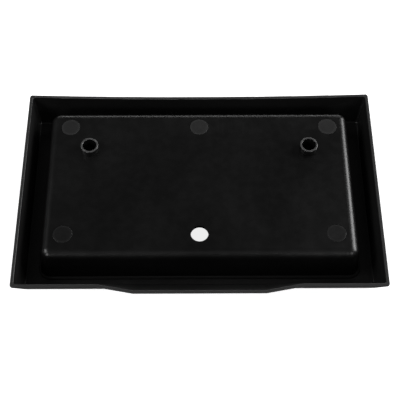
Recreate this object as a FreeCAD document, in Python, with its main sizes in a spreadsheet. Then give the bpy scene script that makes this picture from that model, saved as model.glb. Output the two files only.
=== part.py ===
import FreeCAD, Part
import math
import os
import Sketcher

# Coin display tray: a shallow moulded pan with a front lip, and a raised deck that is screwed into it
# from below. Two hollow posts and five blanking plugs sit in the deck; its sixth plug hole is open.
# The frame: +X right, +Y to the back, +Z up, origin under the middle of the tray, where the feet stand.
# All lengths are millimetres.

DIMENSIONS = [
    # The pan. Its walls lean outward from the underside and the gutter floor to the rim.
    ("foot_proud", 1.2, "how far the feet hold the pan off the shelf"),
    ("floor_thickness", 2.6, "pan floor, underside to gutter"),
    ("rim_rise", 22.0, "gutter floor to rim"),
    ("rim_half_width", 94.75, "centre to the rim's outer edge, each side"),
    ("rim_back", 61.55, "centre to the rim's outer edge at the back corners"),
    ("rim_front", 58.05, "centre to the rim's outer edge at the front corners"),
    ("lip_front", 61.55, "centre to the outer edge of the front lip"),
    ("lip_half_width", 33.2, "half the straight run of the lip"),
    ("lip_root_half_width", 51.4, "centre to where the lip joins the rim"),
    ("lip_start", 3.0, "foot of the front wall to the foot of the lip"),
    ("back_bow", 1.6, "how far the back wall curves in at its middle"),
    ("bow_inset", 0.65, "inner corner of the rim to the end of the curve, along the wall"),
    ("bow_step", 0.05, "the same, out from the wall"),
    ("wall", 1.7, "side and back walls, measured level"),
    ("front_wall", 1.9, "leaning front wall, measured level"),
    ("floor_half_width", 91.5, "centre to the foot of the side walls"),
    ("floor_back", 58.15, "centre to the foot of the back wall"),
    ("floor_front", 45.9, "centre to the foot of the front wall"),
    ("base_half_width", 93.05, "centre to the underside's edge, each side"),
    ("base_back", 60.0, "centre to the underside's back edge"),
    ("base_front", 47.0, "centre to the underside's front edge"),
    ("outer_corner", 1.6, "radius of the pan's upright corners, outside"),
    ("inner_corner", 1.2, "radius of the pan's upright corners, inside"),
    ("gutter_round", 0.8, "radius where the walls meet the gutter floor"),
    ("base_round", 1.2, "radius along the underside's edge"),
    ("rim_round", 0.35, "radius of the rim's two edges"),
    # The deck. It is hollow below and stands on a flange let into the pan floor.
    ("deck_height", 21.1, "flange underside to deck top"),
    ("deck_half_width", 83.3, "centre to the foot of the deck's side walls"),
    ("deck_front", 41.2, "centre to the foot of the deck's front wall"),
    ("deck_back", 52.4, "centre to the foot of the deck's back wall"),
    ("deck_draft", 5.0, "lean of the deck walls in degrees"),
    ("deck_wall", 2.0, "deck plate and wall thickness"),
    ("deck_corner", 5.0, "radius of the deck's upright corners"),
    ("deck_inner_corner", 3.2, "the same on the inside"),
    ("deck_round", 4.6, "round-over along the deck's top edge"),
    ("deck_foot_round", 0.9, "radius where the deck wall meets its flange"),
    ("deck_inner_round", 2.5, "radius under the deck plate"),
    ("flange_width", 1.4, "flange, beyond the foot of the deck wall"),
    ("flange_thickness", 1.2, "flange, top to bottom"),
    ("flange_round", 0.35, "radius of the flange's upper edge"),
    ("seat_depth", 0.6, "how deep the flange is let into the pan floor"),
    ("seat_gap", 0.1, "clearance around the flange in its seat"),
    ("rib_thickness", 1.2, "ribs under the deck plate"),
    ("rib_depth", 3.0, "how far the ribs hang down"),
    ("rib_bite", 0.6, "how far the ribs run into the plate and walls"),
    ("cross_rib_x", 30.0, "centre to each front-to-back rib"),
    ("long_rib_front", 12.0, "centre to the front side-to-side rib"),
    ("long_rib_back", 10.0, "centre to the back side-to-side rib"),
    # The opening in the pan floor under the deck.
    ("window_half_width", 70.0, "half the width of the opening"),
    ("window_front", 28.0, "centre to its front edge"),
    ("window_back", 38.0, "centre to its back edge"),
    ("window_corner", 6.0, "radius of its corners"),
    # The hollow posts.
    ("post_x", 59.3, "centre to each post"),
    ("post_y", 25.85, "centre to the line of the posts"),
    ("post_radius", 4.75, "outside of a post"),
    ("post_bore", 3.75, "inside of a post"),
    ("post_rise", 3.9, "post above the deck"),
    ("post_shank", 6.0, "post below the deck plate"),
    ("post_floor", 1.5, "closed lower end of a post"),
    ("post_collar", 6.25, "radius of the collar under the deck plate"),
    ("post_collar_height", 1.4, "height of that collar"),
    ("post_gap", 0.05, "clearance around a post in the deck plate"),
    ("post_round", 0.3, "radius of a post's upper edges"),
    # The plugs and the open plug hole.
    ("plug_x", 70.65, "centre to the outer columns of plugs"),
    ("plug_back", 40.4, "centre to the back row of plugs"),
    ("plug_front", 26.7, "centre to the front row of plugs"),
    ("plug_radius", 5.05, "head of a plug"),
    ("plug_head", 1.0, "thickness of a plug's head"),
    ("plug_gap", 0.1, "clearance around a plug's head"),
    ("plug_stem", 3.0, "radius of a plug's stem"),
    ("plug_tip", 2.5, "radius of the stem's tapered tip"),
    ("plug_length", 3.6, "head face to stem tip"),
    ("plug_taper", 0.8, "length of the stem's tapered tip"),
    ("stem_gap", 0.05, "clearance around a plug's stem"),
    ("plug_round", 0.15, "radius of a head's edge"),
    ("open_hole", 4.6, "radius of the open plug hole"),
    # The screws that hold the deck down.
    ("screw_x", 52.0, "centre to each screw"),
    ("screw_front", 34.0, "centre to the front screws"),
    ("screw_back", 44.5, "centre to the back screws"),
    ("screw_radius", 1.25, "screw shank, at the root of its thread"),
    ("screw_clearance", 1.6, "clearance hole in the pan"),
    ("screw_head", 2.75, "radius of the countersunk head"),
    ("screw_sink", 0.1, "how far the head lies below the underside"),
    ("screw_length", 9.0, "head face to tip"),
    ("screw_tip", 0.6, "radius of the screw's tip"),
    ("screw_taper", 1.2, "length of the screw's tapered tip"),
    ("screw_fit", 0.03, "clearance around a screw in its boss"),
    ("screw_slot", 0.7, "width of the cross in the head"),
    ("screw_slot_depth", 0.9, "depth of that cross"),
    ("screw_slot_length", 3.2, "span of that cross"),
    ("boss_radius", 3.2, "screw boss under the deck"),
    ("pilot_depth", 9.0, "depth of the boss's pilot hole"),
    # The rubber feet.
    ("foot_x", 75.8, "centre to each foot"),
    ("foot_front", 33.8, "centre to the front feet"),
    ("foot_back", 44.6, "centre to the back feet"),
    ("foot_radius", 4.5, "foot"),
    ("foot_recess", 0.5, "how deep a foot is let into the pan"),
    ("foot_gap", 0.05, "clearance around a foot in its recess"),
    ("foot_round", 0.5, "radius of a foot's lower edge"),
]

ZERO = "0 mm"
TOUCH = 0.01
UPRIGHT = 0.8
STEP_FOLDER = "parts"
SIDES = {"left": "-", "right": ""}

# Heights above the shelf, as expressions in the sheet's values.
PAN_Z = "Dims.foot_proud"
SEAT_Z = "Dims.foot_proud + Dims.floor_thickness - Dims.seat_depth"
PLATE_Z = SEAT_Z + " + Dims.deck_height - Dims.deck_wall"
DECK_TOP_Z = SEAT_Z + " + Dims.deck_height"
SCREW_Z = "Dims.foot_proud + Dims.screw_sink"

# Heights inside the pan, above its underside, and inside the deck, above its flange's underside.
RIM_TOP = "Dims.floor_thickness + Dims.rim_rise"
PLATE_UNDER = "Dims.deck_height - Dims.deck_wall"


def fill_sheet(document):
    """The spreadsheet of driving dimensions: what each is, its number, and its name as the alias."""
    sheet = document.addObject("Spreadsheet::Sheet", "Dims")
    for row, (alias, value, meaning) in enumerate(DIMENSIONS, start=1):
        sheet.set(f"A{row}", meaning)
        sheet.set(f"B{row}", str(value))
        sheet.setAlias(f"B{row}", alias)
    document.recompute()


def recompute():
    FreeCAD.ActiveDocument.recompute()


def new_body(label, x=ZERO, y=ZERO, z=ZERO):
    """A sub-part, placed by three expressions."""
    body = FreeCAD.ActiveDocument.addObject("PartDesign::Body", label)
    body.Label = label
    for axis, expression in zip("xyz", (x, y, z)):
        body.setExpression(f"Placement.Base.{axis}", expression)
    return body


def attach(feature, body, role="XY_Plane", x=ZERO, y=ZERO, z=ZERO):
    """Lay a sketch or primitive on one of the body's own planes, moved by three expressions."""
    plane = next(plane for plane in body.Origin.OriginFeatures if plane.Role == role)
    feature.AttachmentSupport = [(plane, "")]
    feature.MapMode = "FlatFace"
    for axis, expression in zip("xyz", (x, y, z)):
        feature.setExpression(f"AttachmentOffset.Base.{axis}", expression)


# Sketches.

def constrain(sketch, expression, *definition):
    """Add a dimension to a sketch and bind it to an expression."""
    number = sketch.addConstraint(Sketcher.Constraint(*definition, 1.0))
    sketch.setExpression(f"Constraints[{number}]", expression)


def polyline(body, name, corners, role="XY_Plane", z=ZERO, closed=True):
    """Straight edges from corner to corner, each corner held at its x and y expression."""
    sketch = body.newObject("Sketcher::SketchObject", name)
    attach(sketch, body, role, z=z)
    count = len(corners)
    edges = count if closed else count - 1
    ring = [2.0 * math.pi * index / count for index in range(count + 1)]
    spots = [FreeCAD.Vector(math.cos(angle), math.sin(angle), 0) for angle in ring]
    for index in range(edges):
        sketch.addGeometry(Part.LineSegment(spots[index], spots[index + 1]), False)
    for index in range(count if closed else edges - 1):
        sketch.addConstraint(Sketcher.Constraint("Coincident", index, 2, (index + 1) % edges, 1))
    for index, (across, along) in enumerate(corners):
        corner = (index, 1) if index < edges else (index - 1, 2)
        constrain(sketch, across, "DistanceX", -1, 1, *corner)
        constrain(sketch, along, "DistanceY", -1, 1, *corner)
    recompute()
    return sketch


def round_corners(sketch, edges, radius):
    """Round the corner at the start of each named straight edge, keeping the corner's dimensions."""
    for index in edges:
        sketch.fillet(index, 1, 1.0, True, True)
        kinds = [geometry.TypeId for geometry in sketch.Geometry]
        newest = max(n for n, kind in enumerate(kinds) if kind == "Part::GeomArcOfCircle")
        constrain(sketch, radius, "Radius", newest)
    recompute()


def rectangle(body, name, half_width, front, back, z=ZERO):
    """A rectangle as wide on both sides, with its own reach to the front and to the back."""
    corners = [
        (f"-({half_width})", f"-({front})"),
        (half_width, f"-({front})"),
        (half_width, back),
        (f"-({half_width})", back),
    ]
    return polyline(body, name, corners, z=z)


# Features.

def edge_points(edge):
    middle = 0.5 * (edge.FirstParameter + edge.LastParameter)
    return [edge.valueAt(at) for at in (edge.FirstParameter, middle, edge.LastParameter)]


def is_upright(edge):
    first, _, last = edge_points(edge)
    return abs(last.z - first.z) > UPRIGHT * edge.Length


def lies_at(height):
    """A test for level edges at one height."""
    return lambda edge: all(abs(point.z - height) < TOUCH for point in edge_points(edge))


def pan_corner(height):
    """A test for the pan's four corner edges that run up from one height."""
    lip_root = FreeCAD.ActiveDocument.Dims.lip_root_half_width

    def wanted(edge):
        spots = edge_points(edge)
        lowest = min(spot.z for spot in spots)
        return is_upright(edge) and abs(lowest - height) < TOUCH and abs(spots[0].x) > lip_root

    return wanted


def fillet(body, name, radius, wanted):
    """Round the edges of the body's last feature that pass a test."""
    base = body.Tip
    edges = [f"Edge{n}" for n, edge in enumerate(base.Shape.Edges, start=1) if wanted(edge)]
    feature = body.newObject("PartDesign::Fillet", name)
    feature.Base = (base, edges)
    feature.setExpression("Radius", radius)
    recompute()


def frustum(body, kind, name, bottom, top, low, high):
    """A block with leaning sides, each end given by its half width, front reach and back reach."""
    feature = body.newObject(kind, name)
    attach(feature, body, role="XZ_Plane")
    for level, (half_width, front, back) in (("", bottom), ("2", top)):
        feature.setExpression(f"X{level}min", f"-({half_width})")
        feature.setExpression(f"X{level}max", half_width)
        feature.setExpression(f"Z{level}min", f"-({back})")
        feature.setExpression(f"Z{level}max", front)
    feature.setExpression("Ymin", low)
    feature.setExpression("Ymax", high)
    recompute()


def lip_sweep(body, kind, name, foot, front, lip, depth):
    """The front lip or its hollow: its outline at the rim, swept down and back as its wall leans."""
    behind = f"Dims.wall - ({front})"
    outline = polyline(body, f"{name}Outline", [
        ("-Dims.lip_root_half_width", f"-({front})"),
        ("-Dims.lip_half_width", f"-({lip})"),
        ("Dims.lip_half_width", f"-({lip})"),
        ("Dims.lip_root_half_width", f"-({front})"),
        ("Dims.lip_root_half_width", behind),
        ("-Dims.lip_root_half_width", behind),
    ], z=RIM_TOP)
    feature = body.newObject(kind, name)
    feature.Profile = outline
    feature.UseCustomVector = True
    feature.AlongSketchNormal = True
    wall_at_start = f"(({front}) - ({foot})) * Dims.lip_start / ({depth})"
    lean = f"(({lip}) - ({foot}) - {wall_at_start}) / (({depth}) - Dims.lip_start)"
    feature.setExpression("Direction.x", "0")
    feature.setExpression("Direction.y", lean)
    feature.setExpression("Direction.z", "-1")
    feature.setExpression("Length", depth)
    recompute()


def back_curve(body, kind, name, half_width, edge, far, bow, z, length, upward):
    """An upright slice between a straight line and an arc that curves in to the middle."""
    sketch = polyline(body, f"{name}Outline", [
        (f"-({half_width})", edge),
        (f"-({half_width})", far),
        (half_width, far),
        (half_width, edge),
    ], z=z, closed=False)
    left, right = 0, 2
    ends = [sketch.getPoint(left, 1), sketch.getPoint(right, 2)]
    middle = 0.5 * (ends[0] + ends[1]) - FreeCAD.Vector(0, 1, 0)
    arc = sketch.addGeometry(Part.Arc(ends[0], middle, ends[1]), False)
    sketch.addConstraint(Sketcher.Constraint("Coincident", arc, 1, left, 1))
    sketch.addConstraint(Sketcher.Constraint("Coincident", arc, 2, right, 2))
    constrain(sketch, f"(({half_width})^2 + ({bow})^2) / (2 * ({bow}))", "Radius", arc)
    recompute()
    prism(body, kind, name, sketch, length, upward)


def prism(body, kind, name, sketch, length, upward, draft=None):
    """A pad or a pocket that goes straight up or down from its sketch, with an optional draft."""
    feature = body.newObject(kind, name)
    feature.Profile = sketch
    feature.setExpression("Length", length)
    feature.Reversed = upward == (kind == "PartDesign::Pocket")
    if draft is not None:
        feature.setExpression("TaperAngle", draft)
    recompute()


def cylinder(body, kind, name, x, y, z, radius, height):
    feature = body.newObject(kind, name)
    attach(feature, body, x=x, y=y, z=z)
    feature.setExpression("Radius", radius)
    feature.setExpression("Height", height)


def block(body, kind, name, x, y, z, sizes):
    """A box from its lowest corner, with three expressions for its sizes along X, Y and Z."""
    feature = body.newObject(kind, name)
    attach(feature, body, x=x, y=y, z=z)
    for size_name, expression in zip(("Length", "Width", "Height"), sizes):
        feature.setExpression(size_name, expression)


def turned(body, profile):
    """A round solid about Z from the half profile, given as radius and height expressions."""
    sketch = polyline(body, "Profile", profile, role="XZ_Plane")
    feature = body.newObject("PartDesign::Revolution", "Turned")
    feature.Profile = sketch
    feature.ReferenceAxis = (sketch, ["V_Axis"])
    recompute()


# Where the repeated pieces stand: name, x expression and y expression.

def four_places(x, front, back):
    for row, y in (("front", f"-{front}"), ("back", back)):
        for side, sign in SIDES.items():
            yield f"{row}_{side}", f"{sign}{x}", y


def screw_places():
    return four_places("Dims.screw_x", "Dims.screw_front", "Dims.screw_back")


def foot_places():
    return four_places("Dims.foot_x", "Dims.foot_front", "Dims.foot_back")


def plug_places():
    """Five of the six places of a grid; the middle of the front row stays open."""
    yield from four_places("Dims.plug_x", "Dims.plug_front", "Dims.plug_back")
    yield "back_middle", ZERO, "Dims.plug_back"


# Sub-parts.

def pan_outside(body):
    """The pan as a solid block: leaning walls, front lip and rounded corners."""
    frustum(body, "PartDesign::AdditiveWedge", "Outside",
            ("Dims.base_half_width", "Dims.base_front", "Dims.base_back"),
            ("Dims.rim_half_width", "Dims.rim_front", "Dims.rim_back"), ZERO, RIM_TOP)
    lip_sweep(body, "PartDesign::Pad", "Lip", "Dims.base_front", "Dims.rim_front",
              "Dims.lip_front", RIM_TOP)
    fillet(body, "OuterCornerRound", "Dims.outer_corner", pan_corner(0.0))


def pan_inside(body):
    """The hollow of the pan, down to the gutter floor."""
    sheet = FreeCAD.ActiveDocument.Dims
    mouth_front = "Dims.rim_front - Dims.front_wall"
    frustum(body, "PartDesign::SubtractiveWedge", "Inside",
            ("Dims.floor_half_width", "Dims.floor_front", "Dims.floor_back"),
            ("Dims.rim_half_width - Dims.wall", mouth_front, "Dims.rim_back - Dims.wall"),
            "Dims.floor_thickness", RIM_TOP)
    lip_sweep(body, "PartDesign::Pocket", "LipInside", "Dims.floor_front", mouth_front,
              "Dims.lip_front - Dims.front_wall", "Dims.rim_rise")
    fillet(body, "InnerCornerRound", "Dims.inner_corner", pan_corner(sheet.floor_thickness))


def bow_back_wall(body):
    """The inward curve of the back wall: added on its inner face and cut from its outer face."""
    back_curve(body, "PartDesign::Pad", "BowInside",
               "Dims.rim_half_width - Dims.wall - Dims.bow_inset",
               "Dims.rim_back - Dims.wall - Dims.bow_step",
               "Dims.rim_back - Dims.wall + Dims.bow_step",
               "Dims.back_bow - Dims.bow_step", "Dims.floor_thickness", "Dims.rim_rise", True)
    back_curve(body, "PartDesign::Pocket", "BowOutside", "Dims.rim_half_width",
               "Dims.rim_back", "Dims.rim_back + Dims.wall", "Dims.back_bow", ZERO, RIM_TOP, True)


def tray_pan():
    """The pan: rim, walls, front lip and gutter floor, with a seat and a window under the deck."""
    body = new_body("tray_pan", z=PAN_Z)
    sheet = FreeCAD.ActiveDocument.Dims
    pan_outside(body)
    pan_inside(body)
    bow_back_wall(body)
    fillet(body, "GutterRound", "Dims.gutter_round", lies_at(sheet.floor_thickness))
    fillet(body, "BaseRound", "Dims.base_round", lies_at(0.0))
    fillet(body, "RimRound", "Dims.rim_round", lies_at(sheet.floor_thickness + sheet.rim_rise))
    seat_grown = "Dims.flange_width + Dims.seat_gap"
    seat = rectangle(body, "Seat", f"Dims.deck_half_width + {seat_grown}",
                     f"Dims.deck_front + {seat_grown}", f"Dims.deck_back + {seat_grown}",
                     z="Dims.floor_thickness")
    round_corners(seat, range(4), f"Dims.deck_corner + {seat_grown}")
    prism(body, "PartDesign::Pocket", "SeatCut", seat, "Dims.seat_depth", False)
    window = rectangle(body, "Window", "Dims.window_half_width", "Dims.window_front",
                       "Dims.window_back")
    round_corners(window, range(4), "Dims.window_corner")
    prism(body, "PartDesign::Pocket", "WindowCut", window, "Dims.floor_thickness", True)
    for place, x, y in screw_places():
        cone = body.newObject("PartDesign::SubtractiveCone", f"Countersink_{place}")
        attach(cone, body, x=x, y=y)
        cone.setExpression("Radius1", "Dims.screw_head + Dims.screw_sink")
        cone.setExpression("Radius2", "Dims.screw_clearance")
        cone.setExpression("Height", "Dims.screw_head + Dims.screw_sink - Dims.screw_clearance")
        cylinder(body, "PartDesign::SubtractiveCylinder", f"ScrewHole_{place}", x, y, ZERO,
                 "Dims.screw_clearance", "Dims.floor_thickness")
    for place, x, y in foot_places():
        cylinder(body, "PartDesign::SubtractiveCylinder", f"FootRecess_{place}", x, y, ZERO,
                 "Dims.foot_radius + Dims.foot_gap", "Dims.foot_recess")
    return body


def raised_deck():
    """The deck: a hollow platform on a foot flange, with ribs and screw bosses inside."""
    body = new_body("raised_deck", z=SEAT_Z)
    sheet = FreeCAD.ActiveDocument.Dims
    foot = rectangle(body, "Foot", "Dims.deck_half_width", "Dims.deck_front", "Dims.deck_back")
    prism(body, "PartDesign::Pad", "Platform", foot, "Dims.deck_height", True, "-Dims.deck_draft")
    fillet(body, "CornerRound", "Dims.deck_corner", is_upright)
    fillet(body, "TopRound", "Dims.deck_round", lies_at(sheet.deck_height))
    flange = rectangle(body, "Flange", "Dims.deck_half_width + Dims.flange_width",
                       "Dims.deck_front + Dims.flange_width", "Dims.deck_back + Dims.flange_width")
    round_corners(flange, range(4), "Dims.deck_corner + Dims.flange_width")
    prism(body, "PartDesign::Pad", "FlangePad", flange, "Dims.flange_thickness", True)
    flange_top = lies_at(sheet.flange_thickness)
    fillet(body, "FootRound", "Dims.deck_foot_round",
           lambda edge: flange_top(edge) and in_deck_wall(edge, sheet))
    fillet(body, "FlangeRound", "Dims.flange_round",
           lambda edge: flange_top(edge) and not in_deck_wall(edge, sheet))
    hollow = rectangle(body, "Hollow", "Dims.deck_half_width - Dims.deck_wall",
                       "Dims.deck_front - Dims.deck_wall", "Dims.deck_back - Dims.deck_wall")
    round_corners(hollow, range(4), "Dims.deck_inner_corner")
    prism(body, "PartDesign::Pocket", "HollowCut", hollow, PLATE_UNDER, True, "-Dims.deck_draft")
    fillet(body, "InnerTopRound", "Dims.deck_inner_round",
           lies_at(sheet.deck_height - sheet.deck_wall))
    deck_ribs(body)
    for place, x, y in screw_places():
        cylinder(body, "PartDesign::AdditiveCylinder", f"Boss_{place}", x, y, ZERO,
                 "Dims.boss_radius", PLATE_UNDER + " + Dims.rib_bite")
        cylinder(body, "PartDesign::SubtractiveCylinder", f"Pilot_{place}", x, y, ZERO,
                 "Dims.screw_radius + Dims.screw_fit", "Dims.pilot_depth")
    for side, sign in SIDES.items():
        cylinder(body, "PartDesign::SubtractiveCylinder", f"PostHole_{side}", f"{sign}Dims.post_x",
                 "Dims.post_y", PLATE_UNDER, "Dims.post_radius + Dims.post_gap", "Dims.deck_wall")
    for place, x, y in plug_places():
        cylinder(body, "PartDesign::SubtractiveCylinder", f"HeadSeat_{place}", x, y,
                 "Dims.deck_height - Dims.plug_head", "Dims.plug_radius + Dims.plug_gap",
                 "Dims.plug_head")
        cylinder(body, "PartDesign::SubtractiveCylinder", f"StemHole_{place}", x, y, PLATE_UNDER,
                 "Dims.plug_stem + Dims.stem_gap", "Dims.deck_wall")
    cylinder(body, "PartDesign::SubtractiveCylinder", "OpenHole", ZERO, "-Dims.plug_front",
             PLATE_UNDER, "Dims.open_hole", "Dims.deck_wall")
    return body


def in_deck_wall(edge, sheet):
    """True for an edge that lies within the foot of the deck's walls, not out on the flange."""
    half_width = sheet.deck_half_width + TOUCH
    front = -sheet.deck_front - TOUCH
    back = sheet.deck_back + TOUCH
    return all(abs(spot.x) < half_width and front < spot.y < back for spot in edge_points(edge))


def deck_ribs(body):
    """Ribs under the deck plate, two across the deck and two from front to back."""
    under = f"{PLATE_UNDER} - Dims.rib_depth"
    depth = "Dims.rib_depth + Dims.rib_bite"
    reach = "Dims.deck_half_width - Dims.deck_wall - Dims.rib_bite"
    front = "Dims.deck_front - Dims.deck_wall - Dims.rib_bite"
    back = "Dims.deck_back - Dims.deck_wall - Dims.rib_bite"
    for side, sign in SIDES.items():
        block(body, "PartDesign::AdditiveBox", f"CrossRib_{side}",
              f"{sign}Dims.cross_rib_x - Dims.rib_thickness / 2", f"-({front})", under,
              ("Dims.rib_thickness", f"{front} + {back}", depth))
    for row, y in (("front", "-Dims.long_rib_front"), ("back", "Dims.long_rib_back")):
        block(body, "PartDesign::AdditiveBox", f"LongRib_{row}", f"-({reach})",
              f"{y} - Dims.rib_thickness / 2", under,
              (f"2 * ({reach})", "Dims.rib_thickness", depth))


def hollow_post(side, sign):
    """A closed-ended sleeve, pushed up through the deck plate until its collar stops it."""
    body = new_body(f"{side}_post", f"{sign}Dims.post_x", "Dims.post_y", PLATE_Z)
    sheet = FreeCAD.ActiveDocument.Dims
    top = "Dims.deck_wall + Dims.post_rise"
    turned(body, [
        (ZERO, "-Dims.post_shank"),
        ("Dims.post_radius", "-Dims.post_shank"),
        ("Dims.post_radius", "-Dims.post_collar_height"),
        ("Dims.post_collar", "-Dims.post_collar_height"),
        ("Dims.post_collar", ZERO),
        ("Dims.post_radius", ZERO),
        ("Dims.post_radius", top),
        ("Dims.post_bore", top),
        ("Dims.post_bore", "Dims.post_floor - Dims.post_shank"),
        (ZERO, "Dims.post_floor - Dims.post_shank"),
    ])
    fillet(body, "TopRound", "Dims.post_round", lies_at(sheet.deck_wall + sheet.post_rise))
    return body


def deck_plug(place, x, y):
    """A blanking plug: a thin round head flush with the deck, and a stem through the plate."""
    body = new_body(f"plug_{place}", x, y, DECK_TOP_Z)
    turned(body, [
        (ZERO, "-Dims.plug_length"),
        ("Dims.plug_tip", "-Dims.plug_length"),
        ("Dims.plug_stem", "Dims.plug_taper - Dims.plug_length"),
        ("Dims.plug_stem", "-Dims.plug_head"),
        ("Dims.plug_radius", "-Dims.plug_head"),
        ("Dims.plug_radius", ZERO),
        (ZERO, ZERO),
    ])
    fillet(body, "HeadRound", "Dims.plug_round", lies_at(0.0))
    return body


def deck_screw(place, x, y):
    """A countersunk screw that goes up from below, with a cross in its head."""
    body = new_body(f"deck_screw_{place}", x, y, SCREW_Z)
    turned(body, [
        (ZERO, ZERO),
        ("Dims.screw_head", ZERO),
        ("Dims.screw_radius", "Dims.screw_head - Dims.screw_radius"),
        ("Dims.screw_radius", "Dims.screw_length - Dims.screw_taper"),
        ("Dims.screw_tip", "Dims.screw_length"),
        (ZERO, "Dims.screw_length"),
    ])
    arm = "Dims.screw_slot_length"
    width = "Dims.screw_slot"
    for name, size_x, size_y in (("SlotAcross", arm, width), ("SlotAlong", width, arm)):
        block(body, "PartDesign::SubtractiveBox", name, f"-{size_x} / 2", f"-{size_y} / 2", ZERO,
              (size_x, size_y, "Dims.screw_slot_depth"))
    return body


def rubber_foot(place, x, y):
    """A thin rubber foot, let into the pan's underside."""
    body = new_body(f"foot_{place}", x, y)
    height = "Dims.foot_proud + Dims.foot_recess"
    turned(body, [
        (ZERO, ZERO),
        ("Dims.foot_radius", ZERO),
        ("Dims.foot_radius", height),
        (ZERO, height),
    ])
    fillet(body, "LowerRound", "Dims.foot_round", lies_at(0.0))
    return body


def check(document, bodies):
    """Stop before anything is written if a feature failed or a sub-part isn't one sound solid."""
    for item in document.Objects:
        if "Invalid" in item.State or "Error" in item.State:
            raise RuntimeError(f"{item.Label} failed to compute")
    for body in bodies:
        shape = body.Shape
        if shape.isNull() or not shape.isValid() or len(shape.Solids) != 1:
            raise RuntimeError(f"{body.Label} is not one sound solid")


def main():
    document = FreeCAD.newDocument("CoinDisplayTray")
    fill_sheet(document)
    bodies = [tray_pan(), raised_deck()]
    bodies += [hollow_post(side, sign) for side, sign in SIDES.items()]
    bodies += [deck_plug(*place) for place in plug_places()]
    bodies += [deck_screw(*place) for place in screw_places()]
    bodies += [rubber_foot(*place) for place in foot_places()]
    document.recompute()
    check(document, bodies)
    os.makedirs(STEP_FOLDER, exist_ok=True)
    for body in bodies:
        body.Shape.exportStep(os.path.join(STEP_FOLDER, f"{body.Label}.step"))


main()
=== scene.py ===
import math

import bpy
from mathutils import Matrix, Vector


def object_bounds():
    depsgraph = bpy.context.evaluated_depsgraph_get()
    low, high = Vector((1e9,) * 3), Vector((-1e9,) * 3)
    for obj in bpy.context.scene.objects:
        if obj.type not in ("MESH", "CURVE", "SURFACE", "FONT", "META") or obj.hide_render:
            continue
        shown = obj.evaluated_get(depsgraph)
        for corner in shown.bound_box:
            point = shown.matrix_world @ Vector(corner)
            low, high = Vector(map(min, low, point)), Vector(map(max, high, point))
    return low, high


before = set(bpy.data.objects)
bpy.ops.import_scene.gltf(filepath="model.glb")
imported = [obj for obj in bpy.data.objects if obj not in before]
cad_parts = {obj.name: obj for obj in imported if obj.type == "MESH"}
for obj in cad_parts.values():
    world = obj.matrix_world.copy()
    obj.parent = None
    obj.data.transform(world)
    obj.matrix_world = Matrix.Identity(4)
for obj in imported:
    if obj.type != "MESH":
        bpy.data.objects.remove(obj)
CAD_BOX = [list(corner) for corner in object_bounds()]

MM = 0.001

# Heights above the shelf of the pan's rim and of the posts' upper ends.
RIM_HEIGHT = 25.8 * MM
POST_TOP = 28.2 * MM
# How far below a rim's top the painted highlight on that rim fades out.
RIM_HIGHLIGHT_DEPTH = 0.4 * MM

# The camera stands in front of the tray and looks down on it.
VIEW_DISTANCE = 0.500
VIEW_DROP = math.radians(59.1)
VIEW_YAW = math.radians(-0.235)
LENS = 85.57
SENSOR = 36.0
AIM = Vector((0.0003, -0.0066, 0.0243))

FLOOR_SIZE = 8.0
FLOOR_GLOW = 0.84
ROOM_GLOW = 0.050

# Each soft light: its name, place, size in metres and watts. All of them point at AIM.
LIGHTS = (
    ("right_window", (1.26, 0.40, 0.58), (1.0, 0.8), 21.0),
    ("back_strip", (0.1, 1.5, 0.35), (1.6, 0.3), 5.0),
    ("left_window", (-1.10, -0.10, 0.98), (0.9, 0.6), 8.0),
    ("front_top", (0.0, -0.80, 1.40), (1.3, 1.0), 0.5),
    ("front_left", (-0.62, -0.86, 0.62), (0.34, 0.34), 2.2),
    ("front_right", (0.62, -0.86, 0.62), (0.34, 0.34), 2.2),
)


class Shader:
    """A material under construction: its nodes, and links made by naming sockets."""

    def __init__(self, name):
        self.material = bpy.data.materials.new(name)
        self.material.use_nodes = True
        self.nodes = self.material.node_tree.nodes
        self.links = self.material.node_tree.links
        self.surface = self.nodes["Principled BSDF"]
        self.place = self.nodes.new("ShaderNodeTexCoord").outputs["Object"]

    def set(self, node, **values):
        for socket, value in values.items():
            target = node.inputs[socket.replace("_", " ")]
            if isinstance(value, bpy.types.NodeSocket):
                self.links.new(value, target)
            else:
                target.default_value = value
        return node

    def noise(self, scale, detail=2.0, roughness=0.5, place=None, distortion=0.0):
        node = self.nodes.new("ShaderNodeTexNoise")
        self.set(node, Vector=place or self.place, Scale=scale, Detail=detail,
                 Roughness=roughness, Distortion=distortion)
        return node.outputs["Fac"]

    def cells(self, scale, feature="F1", place=None):
        node = self.nodes.new("ShaderNodeTexVoronoi")
        node.feature = feature
        self.set(node, Vector=place or self.place, Scale=scale)
        return node.outputs["Distance"]

    def stretched(self, size, turn=(0.0, 0.0, 0.0)):
        node = self.nodes.new("ShaderNodeMapping")
        self.set(node, Vector=self.place, Scale=size, Rotation=turn)
        return node.outputs["Vector"]

    def ramp(self, value, low, high, at_low=0.0, at_high=1.0):
        node = self.nodes.new("ShaderNodeMapRange")
        node.interpolation_type = "SMOOTHSTEP"
        self.set(node, Value=value, From_Min=low, From_Max=high, To_Min=at_low, To_Max=at_high)
        return node.outputs["Result"]

    def maths(self, operation, first, second):
        node = self.nodes.new("ShaderNodeMath")
        node.operation = operation
        for socket, value in zip(node.inputs, (first, second)):
            if isinstance(value, bpy.types.NodeSocket):
                self.links.new(value, socket)
            else:
                socket.default_value = value
        return node.outputs["Value"]

    def blend(self, share, first, second):
        node = self.nodes.new("ShaderNodeMix")
        node.data_type = "RGBA"
        for index, value in ((0, share), (6, first), (7, second)):
            if isinstance(value, bpy.types.NodeSocket):
                self.links.new(value, node.inputs[index])
            else:
                node.inputs[index].default_value = value
        return node.outputs[2]

    def bump(self, height, depth, under=None):
        node = self.nodes.new("ShaderNodeBump")
        self.set(node, Height=height, Distance=depth, Strength=1.0)
        if under is not None:
            self.links.new(under, node.inputs["Normal"])
        return node.outputs["Normal"]


def grey(value):
    return (value, value, value, 1.0)


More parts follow.
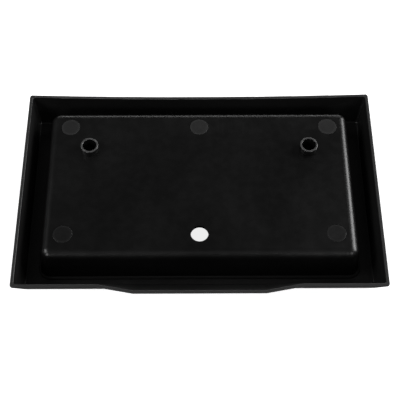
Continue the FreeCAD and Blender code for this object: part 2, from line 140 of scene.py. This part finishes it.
def scratches(shader, scale, turn, width, amount):
    """Sparse hairlines that run one way: 1 on a scratch and 0 off it."""
    long_way = shader.stretched((scale, scale * 0.04, scale), (0.0, 0.0, turn))
    lines = shader.cells(1.0, feature="DISTANCE_TO_EDGE", place=long_way)
    patches = shader.noise(scale * 0.05, detail=1.0)
    line = shader.ramp(lines, 0.0, width, 1.0, 0.0)
    return shader.maths("MULTIPLY", line, shader.ramp(patches, 0.62, 0.62 + amount))


def round_edge(shader, inner, outer):
    """Mask for the painted edge highlight on a round piece: 1 at its edge and 0 over its middle.
    """
    whole = shader.nodes.new("ShaderNodeTexCoord").outputs["Generated"]
    middle = shader.nodes.new("ShaderNodeVectorMath")
    middle.operation = "SUBTRACT"
    shader.links.new(whole, middle.inputs[0])
    middle.inputs[1].default_value = (0.5, 0.5, 0.5)
    level = shader.nodes.new("ShaderNodeVectorMath")
    level.operation = "MULTIPLY"
    shader.links.new(middle.outputs["Vector"], level.inputs[0])
    level.inputs[1].default_value = (2.0, 2.0, 0.0)
    reach = shader.nodes.new("ShaderNodeVectorMath")
    reach.operation = "LENGTH"
    shader.links.new(level.outputs["Vector"], reach.inputs[0])
    return shader.ramp(reach.outputs["Value"], inner, outer)


def rim_highlight_share(shader, level, below):
    """Painted highlight on a rim: 1 at the given height, where a rim ends, fading to 0 a little
    lower down.
    """
    parts = shader.nodes.new("ShaderNodeSeparateXYZ")
    shader.links.new(shader.place, parts.inputs["Vector"])
    return shader.ramp(parts.outputs["Z"], level - below, level)


def moulded(name, tone, roughness, grain=0.22, depth=0.012, wear=1.0, edge=0.0, rim=None):
    """Black injection-moulded plastic: eroded grain, flow shading, hairlines and a little dust,
    with a painted highlight along a rim's top and round a round edge where asked.
    """
    shader = Shader(name)
    flow = shader.noise(14.0, detail=4.0, roughness=0.6, distortion=0.6)
    mottle = shader.noise(220.0, detail=3.0)
    specks = shader.cells(900.0)
    dust = shader.maths("MULTIPLY", shader.ramp(specks, 0.035, 0.075, 1.0, 0.0),
                        shader.ramp(shader.noise(160.0), 0.58, 0.72))
    hairs = shader.maths("MAXIMUM", scratches(shader, 260.0, 0.5, 0.012, 0.1),
                         scratches(shader, 340.0, -1.1, 0.010, 0.1))
    marks = shader.maths("MULTIPLY", hairs, 0.5 * wear)
    base = shader.blend(shader.ramp(flow, 0.3, 0.7), grey(tone * 0.82), grey(tone * 1.18))
    base = shader.blend(shader.maths("MULTIPLY", mottle, 0.25), base, grey(tone * 1.5))
    base = shader.blend(marks, base, grey(tone * 2.0 + 0.006))
    base = shader.blend(shader.maths("MULTIPLY", dust, 0.35 * wear), base, grey(0.05))
    if edge > 0.0:
        # A lighter ring painted round a round piece's edge: a painted highlight.
        edge_highlight = shader.maths("MULTIPLY", round_edge(shader, 0.70, 0.92), edge)
        base = shader.blend(edge_highlight, base, grey(tone * 3.0))
    # A lighter band painted along the top of a rim: a painted highlight, not wear.
    if rim is not None:
        level, highlight_tone = rim
        rim_glint = rim_highlight_share(shader, level, RIM_HIGHLIGHT_DEPTH)
        base = shader.blend(rim_glint, base, grey(highlight_tone))
    gloss = shader.maths("ADD", shader.ramp(flow, 0.3, 0.7, roughness - 0.03, roughness + 0.03),
                         shader.ramp(mottle, 0.3, 0.7, -0.02, 0.02))
    gloss = shader.maths("ADD", gloss, shader.maths("MULTIPLY", marks, 0.12))
    eroded = shader.noise(1.0 / (grain * MM), detail=2.0, roughness=0.55)
    pitted = shader.bump(eroded, depth * MM)
    lined = shader.bump(shader.maths("MULTIPLY", marks, -1.0), 0.01 * MM, under=pitted)
    shader.set(shader.surface, Base_Color=base, Roughness=gloss, Normal=lined, IOR=1.49)
    return shader.material


def zinc(name):
    """Bright zinc on the screws, with a faint turned grain."""
    shader = Shader(name)
    cloud = shader.noise(500.0, detail=3.0)
    base = shader.blend(cloud, (0.42, 0.44, 0.46, 1.0), (0.62, 0.62, 0.60, 1.0))
    gloss = shader.ramp(cloud, 0.3, 0.7, 0.26, 0.42)
    turned = shader.noise(1.0, place=shader.stretched((900.0, 900.0, 6000.0)))
    shader.set(shader.surface, Base_Color=base, Roughness=gloss, Metallic=1.0,
               Normal=shader.bump(turned, 0.006 * MM))
    return shader.material


def rubber(name):
    """Dark matt rubber of the feet, with pale dust in its pores."""
    shader = Shader(name)
    pores = shader.noise(2400.0, detail=3.0)
    dust = shader.ramp(shader.noise(700.0), 0.5, 0.8)
    base = shader.blend(shader.maths("MULTIPLY", dust, 0.4), grey(0.012), grey(0.05))
    shader.set(shader.surface, Base_Color=base, Roughness=shader.ramp(pores, 0.3, 0.7, 0.72, 0.9),
               Normal=shader.bump(pores, 0.03 * MM))
    return shader.material


def floor_material():
    """Pale opal table, lit softly from inside as a light table is."""
    shader = Shader("pale_floor")
    cloud = shader.noise(3.0, detail=2.0)
    shader.set(shader.surface, Base_Color=shader.blend(cloud, grey(0.80), grey(0.82)),
               Roughness=0.9, Emission_Color=grey(1.0), Emission_Strength=FLOOR_GLOW)
    shader.surface.inputs["Specular IOR Level"].default_value = 0.1
    return shader.material


FINISHES = {
    # The pan's rim and the posts' tops carry a painted highlight along their upper edge.
    "tray_pan": moulded("pan_plastic", 0.0085, 0.33, grain=0.18, depth=0.008,
                        rim=(RIM_HEIGHT, 0.032)),
    "raised_deck": moulded("deck_plastic", 0.0022, 0.34, grain=0.22, depth=0.006),
    "post": moulded("post_plastic", 0.006, 0.14, grain=0.15, depth=0.004, wear=0.5,
                     rim=(POST_TOP, 0.075)),
    # Same plug plastic in two tones: the back plugs are painted lighter as painted light and the
    # front plugs darker as painted shade; edge sets a painted highlight round each plug.
    "plug_back": moulded("plug_plastic_back_painted_lit", 0.0085, 0.50, grain=0.20, depth=0.006, edge=0.4),
    "plug_front": moulded("plug_plastic_front_painted_shade", 0.0030, 0.40, grain=0.20, depth=0.006, edge=0.8),
    "screw": zinc("screw_zinc"),
    "foot": rubber("foot_rubber"),
}


def finish_of(node):
    return next(finish for word, finish in FINISHES.items() if word in node)


def dress():
    for node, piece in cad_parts.items():
        for place in piece.material_slots:
            place.material = finish_of(node)


def lay_floor():
    """A plain floor at the height the feet stand on."""
    half = FLOOR_SIZE / 2.0
    level = CAD_BOX[0][2]
    mesh = bpy.data.meshes.new("floor")
    corners = [(-half, -half, level), (half, -half, level),
               (half, half, level), (-half, half, level)]
    mesh.from_pydata(corners, [], [(0, 1, 2, 3)])
    mesh.materials.append(floor_material())
    floor = bpy.data.objects.new("floor", mesh)
    bpy.context.collection.objects.link(floor)
    # The glow stays out of reflections, so that the leaning front wall keeps its dark edge.
    floor.visible_glossy = False


def soft_light(name, place, size, power):
    light = bpy.data.lights.new(name, "AREA")
    light.shape = "RECTANGLE"
    light.size, light.size_y = size
    light.energy = power
    lamp = bpy.data.objects.new(name, light)
    lamp.location = place
    lamp.rotation_euler = (AIM - lamp.location).to_track_quat("-Z", "Y").to_euler()
    lamp.visible_camera = False
    bpy.context.collection.objects.link(lamp)


def light_room():
    """A dim even room with the soft lights around and above the tray."""
    world = bpy.data.worlds.new("room")
    world.use_nodes = True
    world.node_tree.nodes["Background"].inputs["Color"].default_value = grey(1.0)
    world.node_tree.nodes["Background"].inputs["Strength"].default_value = ROOM_GLOW
    bpy.context.scene.world = world
    for light in LIGHTS:
        soft_light(*light)


def set_camera():
    camera = bpy.data.cameras.new("camera")
    camera.lens = LENS
    camera.sensor_width = SENSOR
    viewer = bpy.data.objects.new("camera", camera)
    away = Vector((math.sin(VIEW_YAW) * math.cos(VIEW_DROP),
                   -math.cos(VIEW_YAW) * math.cos(VIEW_DROP), math.sin(VIEW_DROP)))
    viewer.location = AIM + away * VIEW_DISTANCE
    viewer.rotation_euler = (-away).to_track_quat("-Z", "Y").to_euler()
    bpy.context.collection.objects.link(viewer)
    bpy.context.scene.camera = viewer
    bpy.context.scene.view_settings.view_transform = "Standard"


dress()
lay_floor()
light_room()
set_camera()
